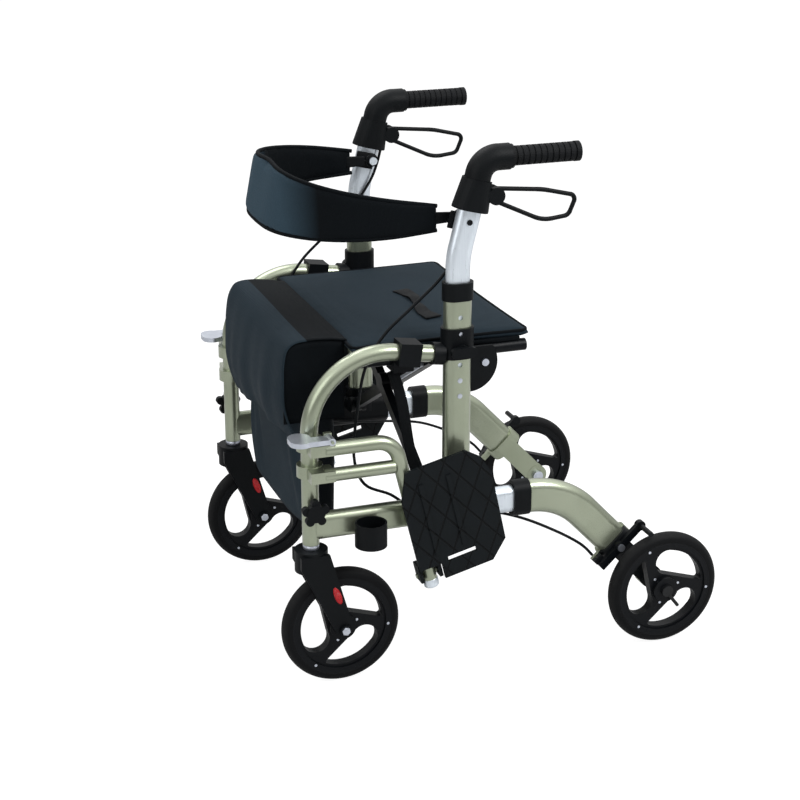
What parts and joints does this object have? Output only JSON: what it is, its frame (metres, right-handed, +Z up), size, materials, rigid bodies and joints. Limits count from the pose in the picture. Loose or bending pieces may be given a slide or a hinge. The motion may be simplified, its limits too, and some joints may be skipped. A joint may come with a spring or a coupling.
{
  "type": "rollator transport chair",
  "caption": "Folding four-wheeled walking frame with padded seat, flip-over backrest band, under-seat bag, loop brakes and swing-away footrests.",
  "frame": {"origin": "centre of the bounding box at floor level", "axes": "+X the chair's left side, -Y its front, +Z up"},
  "size_m": [0.6416, 0.759, 0.875],
  "materials": {
    "champagne_frame": "satin champagne metallic coat on aluminium tube",
    "silver_tube": "bright drawn aluminium",
    "black_plastic": "fine-grained black moulding",
    "bright_steel": "zinc-bright steel",
    "cable_cover": "smooth black cable sheath",
    "wheel_rubber": "soft black tyre moulded on a black hub",
    "grip_rubber": "matt ribbed rubber",
    "footplate_plastic": "textured black plastic",
    "black_tube": "black coated tube",
    "seat_fabric": "dark slate woven nylon",
    "bag_fabric": "dark slate woven nylon",
    "backrest_fabric": "dark slate padded fabric"
  },
  "bodies": {
    "frame_left": {"front_leg_left": "champagne_frame", "lower_rail_left": "champagne_frame", "joint_block_left": "black_plastic", "post_left": "champagne_frame", "post_collar_left": "black_plastic", "seat_bracket_left": "black_plastic", "rail_cradle_left": "black_plastic", "coupling_left": "silver_tube", "coupling_band_left": "black_plastic", "rear_leg_left": "champagne_frame", "axle_bracket_left": "black_plastic", "frame_bolts_left": "bright_steel", "brake_cable_left": "cable_cover", "cane_cup": "black_plastic"},
    "frame_right": {"front_leg_right": "champagne_frame", "lower_rail_right": "champagne_frame", "joint_block_right": "black_plastic", "post_right": "champagne_frame", "post_collar_right": "black_plastic", "seat_bracket_right": "black_plastic", "rail_cradle_right": "black_plastic", "coupling_right": "silver_tube", "coupling_band_right": "black_plastic", "rear_leg_right": "champagne_frame", "axle_bracket_right": "black_plastic", "frame_bolts_right": "bright_steel", "brake_cable_right": "cable_cover"},
    "brace_front": {"brace_arm_front": "black_tube"},
    "brace_rear": {"brace_arm_rear": "black_tube"},
    "seat_left": {"seat_rail_left": "black_tube", "seat": "seat_fabric", "bag": "bag_fabric"},
    "seat_right": {"seat_rail_right": "black_tube"},
    "handle_left": {"handle_tube_left": "silver_tube", "handle_housing_left": "black_plastic", "grip_left": "grip_rubber"},
    "lever_left": {"brake_lever_left": "black_plastic"},
    "brake_left": {"brake_arm_left": "black_tube"},
    "caster_left": {"caster_fork_left": "black_plastic"},
    "front_wheel_left": {"front_wheel_left": "wheel_rubber"},
    "rear_wheel_left": {"rear_wheel_left": "wheel_rubber"},
    "hanger_left": {"hanger_left": "champagne_frame"},
    "footplate_left": {"footplate_left": "footplate_plastic"},
    "release_left": {"release_lever_left": "bright_steel"},
    "height_knob_left": {"height_knob_left": "black_plastic"},
    "star_knob_left": {"star_knob_left": "black_plastic"},
    "handle_right": {"handle_tube_right": "silver_tube", "handle_housing_right": "black_plastic", "grip_right": "grip_rubber"},
    "lever_right": {"brake_lever_right": "black_plastic"},
    "brake_right": {"brake_arm_right": "black_tube"},
    "caster_right": {"caster_fork_right": "black_plastic"},
    "front_wheel_right": {"front_wheel_right": "wheel_rubber"},
    "rear_wheel_right": {"rear_wheel_right": "wheel_rubber"},
    "hanger_right": {"hanger_right": "champagne_frame"},
    "footplate_right": {"footplate_right": "footplate_plastic"},
    "release_right": {"release_lever_right": "bright_steel"},
    "height_knob_right": {"height_knob_right": "black_plastic"},
    "star_knob_right": {"star_knob_right": "black_plastic"},
    "backrest": {"backrest": "backrest_fabric"}
  },
  "joints": [
    {"name": "fold", "type": "hinge", "parent": "frame_left", "child": "brace_front", "pos_m": [0.21, -0.12, 0.303], "axis": [0, 1, 0], "range_deg": [0, 36], "deforming": ["seat", "bag", "backrest"]},
    {"name": "brace_cross", "type": "hinge", "parent": "brace_front", "child": "brace_rear", "pos_m": [0, -0.109, 0.418], "axis": [0, 1, 0], "range_deg": [-72, 0]},
    {"name": "brace_foot_right", "type": "hinge", "parent": "brace_rear", "child": "frame_right", "pos_m": [-0.21, -0.098, 0.303], "axis": [0, 1, 0], "range_deg": [0, 36]},
    {"name": "seat_rail_right_turn", "type": "hinge", "parent": "brace_front", "child": "seat_right", "pos_m": [-0.21, -0.12, 0.533], "axis": [0, 1, 0], "range_deg": [-36, 0]},
    {"name": "seat_rail_left_turn", "type": "hinge", "parent": "brace_rear", "child": "seat_left", "pos_m": [0.21, -0.098, 0.533], "axis": [0, 1, 0], "range_deg": [0, 36]},
    {"name": "caster_swivel_left", "type": "hinge", "parent": "frame_left", "child": "caster_left", "pos_m": [0.245, -0.327, 0.25], "axis": [0, 0, 1], "continuous": true},
    {"name": "front_wheel_spin_left", "type": "hinge", "parent": "caster_left", "child": "front_wheel_left", "pos_m": [0.245, -0.2795, 0.1], "axis": [1, 0, 0], "continuous": true},
    {"name": "rear_wheel_spin_left", "type": "hinge", "parent": "frame_left", "child": "rear_wheel_left", "pos_m": [0.297, 0.2795, 0.1], "axis": [1, 0, 0], "continuous": true},
    {"name": "handle_height_left", "type": "slide", "parent": "frame_left", "child": "handle_left", "axis": [0, 0, 1], "range_m": [0, 0.078], "deforming": ["brake_cable_left"]},
    {"name": "brake_squeeze_left", "type": "hinge", "parent": "handle_left", "child": "lever_left", "pos_m": [0.245, -0.0216, 0.795], "axis": [1, 0, 0], "range_deg": [0, 16], "stiffness_Nm_per_rad": 0.6, "springref_deg": -14.32},
    {"name": "brake_press_left", "type": "hinge", "parent": "frame_left", "child": "brake_left", "pos_m": [0.264, 0.21053, 0.17241], "axis": [-1, 0, 0], "range_deg": [0, 8]},
    {"name": "hanger_swing_left", "type": "hinge", "parent": "frame_left", "child": "hanger_left", "pos_m": [0.245, -0.327, 0.4], "axis": [0, 0, -1], "range_deg": [0, 180]},
    {"name": "footplate_flip_left", "type": "hinge", "parent": "hanger_left", "child": "footplate_left", "pos_m": [0.278, -0.13832, 0.18435], "axis": [0, -0.9703, -0.2419], "range_deg": [-90, 0]},
    {"name": "release_lift_left", "type": "hinge", "parent": "hanger_left", "child": "release_left", "pos_m": [0.289, -0.306, 0.44], "axis": [-1, 0, 0], "range_deg": [0, 25], "stiffness_Nm_per_rad": 0.2, "springref_deg": -17.19},
    {"name": "height_knob_turn_left", "type": "hinge", "parent": "frame_left", "child": "height_knob_left", "pos_m": [0.27, -0.08, 0.553], "axis": [1, 0, 0], "continuous": true},
    {"name": "star_knob_turn_left", "type": "hinge", "parent": "frame_left", "child": "star_knob_left", "pos_m": [0.27, -0.327, 0.313], "axis": [1, 0, 0], "continuous": true},
    {"name": "caster_swivel_right", "type": "hinge", "parent": "frame_right", "child": "caster_right", "pos_m": [-0.245, -0.327, 0.25], "axis": [0, 0, 1], "continuous": true},
    {"name": "front_wheel_spin_right", "type": "hinge", "parent": "caster_right", "child": "front_wheel_right", "pos_m": [-0.245, -0.2795, 0.1], "axis": [1, 0, 0], "continuous": true},
    {"name": "rear_wheel_spin_right", "type": "hinge", "parent": "frame_right", "child": "rear_wheel_right", "pos_m": [-0.297, 0.2795, 0.1], "axis": [1, 0, 0], "continuous": true},
    {"name": "handle_height_right", "type": "slide", "parent": "frame_right", "child": "handle_right", "axis": [0, 0, 1], "range_m": [0, 0.078], "deforming": ["brake_cable_right"]},
    {"name": "brake_squeeze_right", "type": "hinge", "parent": "handle_right", "child": "lever_right", "pos_m": [-0.245, -0.0216, 0.795], "axis": [1, 0, 0], "range_deg": [0, 16], "stiffness_Nm_per_rad": 0.6, "springref_deg": -14.32},
    {"name": "brake_press_right", "type": "hinge", "parent": "frame_right", "child": "brake_right", "pos_m": [-0.264, 0.21053, 0.17241], "axis": [-1, 0, 0], "range_deg": [0, 8]},
    {"name": "hanger_swing_right", "type": "hinge", "parent": "frame_right", "child": "hanger_right", "pos_m": [-0.245, -0.327, 0.4], "axis": [0, 0, 1], "range_deg": [0, 180]},
    {"name": "footplate_flip_right", "type": "hinge", "parent": "hanger_right", "child": "footplate_right", "pos_m": [-0.278, -0.13832, 0.18435], "axis": [0, 0.9703, 0.2419], "range_deg": [-90, 0]},
    {"name": "release_lift_right", "type": "hinge", "parent": "hanger_right", "child": "release_right", "pos_m": [-0.289, -0.306, 0.44], "axis": [-1, 0, 0], "range_deg": [0, 25], "stiffness_Nm_per_rad": 0.2, "springref_deg": -17.19},
    {"name": "height_knob_turn_right", "type": "hinge", "parent": "frame_right", "child": "height_knob_right", "pos_m": [-0.27, -0.08, 0.553], "axis": [1, 0, 0], "continuous": true},
    {"name": "star_knob_turn_right", "type": "hinge", "parent": "frame_right", "child": "star_knob_right", "pos_m": [-0.27, -0.327, 0.313], "axis": [1, 0, 0], "continuous": true},
    {"name": "backrest_flip", "type": "hinge", "parent": "handle_left", "child": "backrest", "pos_m": [0.213, -0.06579, 0.757], "axis": [-1, 0, 0], "range_deg": [0, 180]}
  ],
  "couplings": [
    {"joint": "brace_cross", "follows": "fold", "ratio": -2},
    {"joint": "brace_foot_right", "follows": "fold", "ratio": 1},
    {"joint": "seat_rail_right_turn", "follows": "fold", "ratio": -1},
    {"joint": "seat_rail_left_turn", "follows": "fold", "ratio": 1},
    {"joint": "handle_height_right", "follows": "handle_height_left", "ratio": 1},
    {"joint": "brake_press_left", "follows": "brake_squeeze_left", "ratio": 0.5},
    {"joint": "brake_press_right", "follows": "brake_squeeze_right", "ratio": 0.5}
  ]
}
